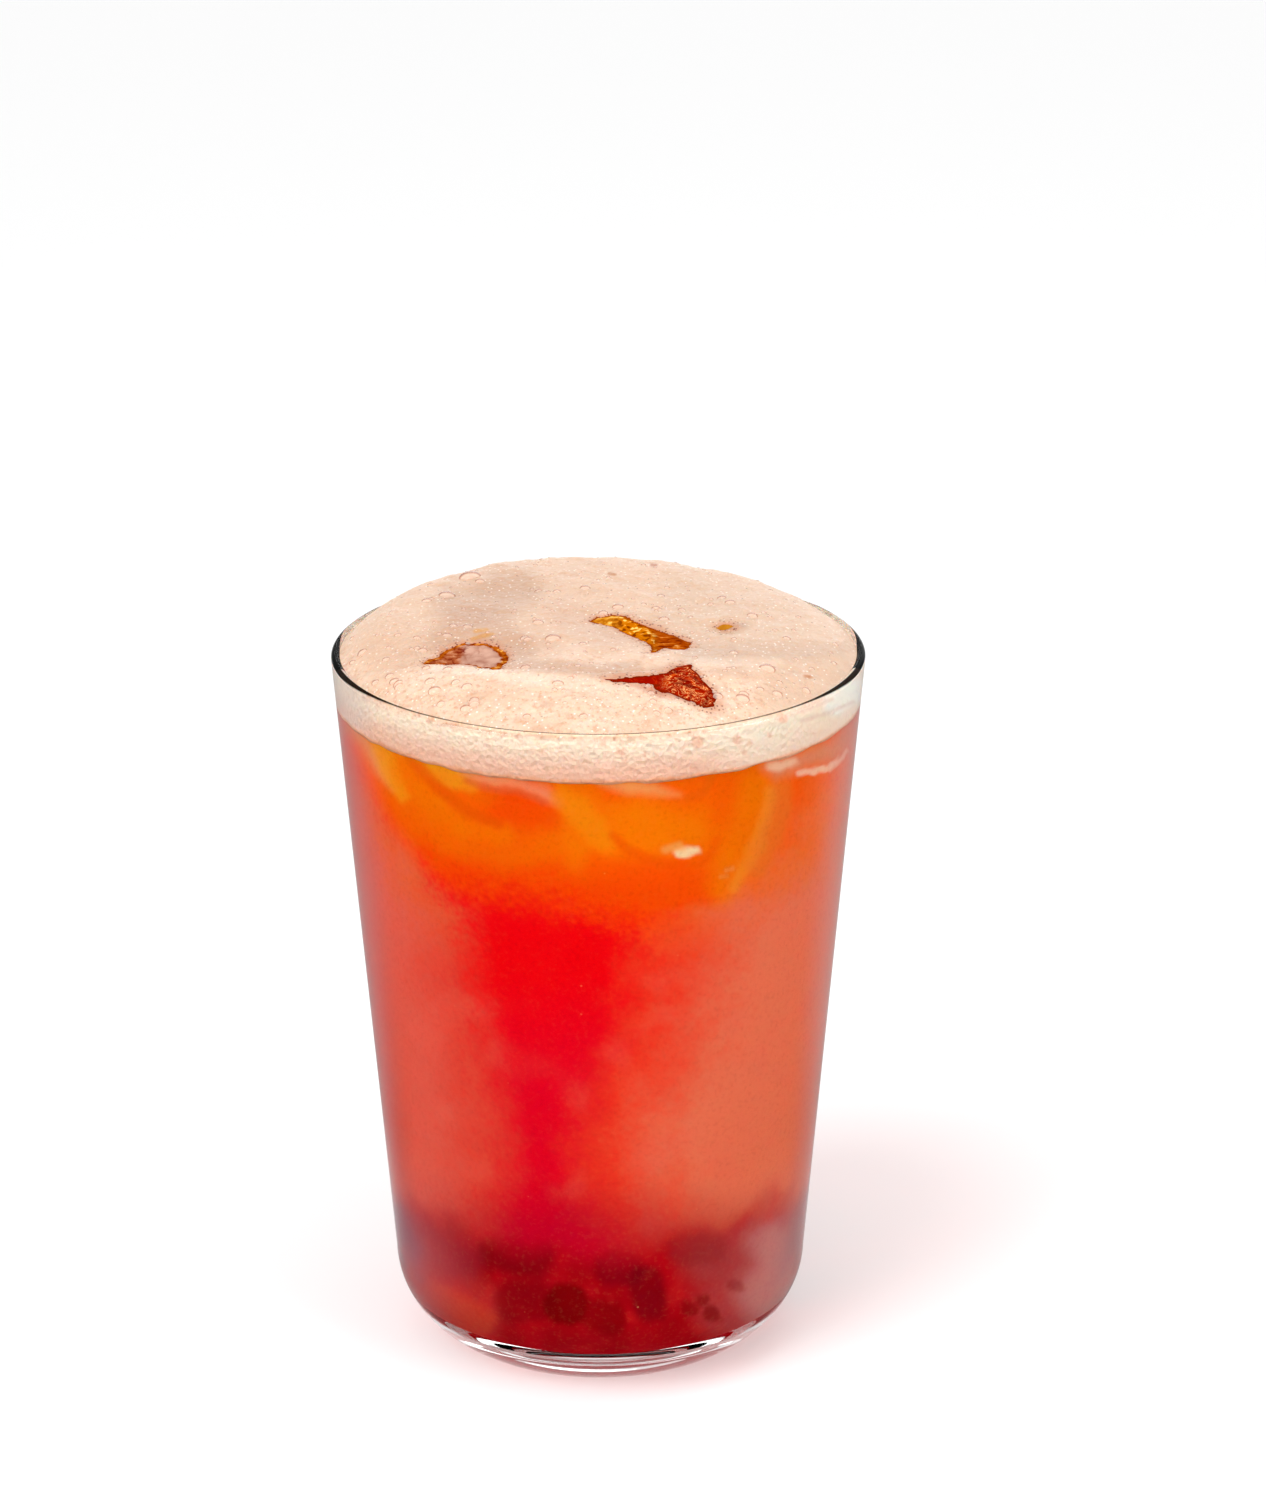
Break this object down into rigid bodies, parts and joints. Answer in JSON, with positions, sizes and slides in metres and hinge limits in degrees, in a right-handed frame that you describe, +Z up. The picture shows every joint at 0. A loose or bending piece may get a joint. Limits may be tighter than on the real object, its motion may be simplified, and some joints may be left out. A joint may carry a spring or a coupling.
{
  "type": "glass of iced berry green tea",
  "caption": "Tapered tumbler of iced berry green tea, brim-full under a domed head of pale foam with ice breaking through it.",
  "frame": {"origin": "centre of the foot's underside, on the surface that the glass stands on", "axes": "+Z up along the glass's axis; -Y towards the side that the picture shows, +X to its right"},
  "size_m": [0.0888, 0.0888, 0.1294],
  "materials": {
    "clear_glass": "clear polished",
    "berry_tea": "cloudy red tea, orange towards the top and dark red over the berries at the bottom",
    "foam": "fine pale foam with bubbles",
    "wet_ice": "wet ice stained by the tea",
    "berries": "dark red crushed berries"
  },
  "bodies": {
    "root": {"glass": "clear_glass", "tea": "berry_tea", "foam": "foam", "ice_1": "wet_ice", "ice_2": "wet_ice", "ice_3": "wet_ice", "ice_4": "wet_ice"}
  },
  "joints": []
}
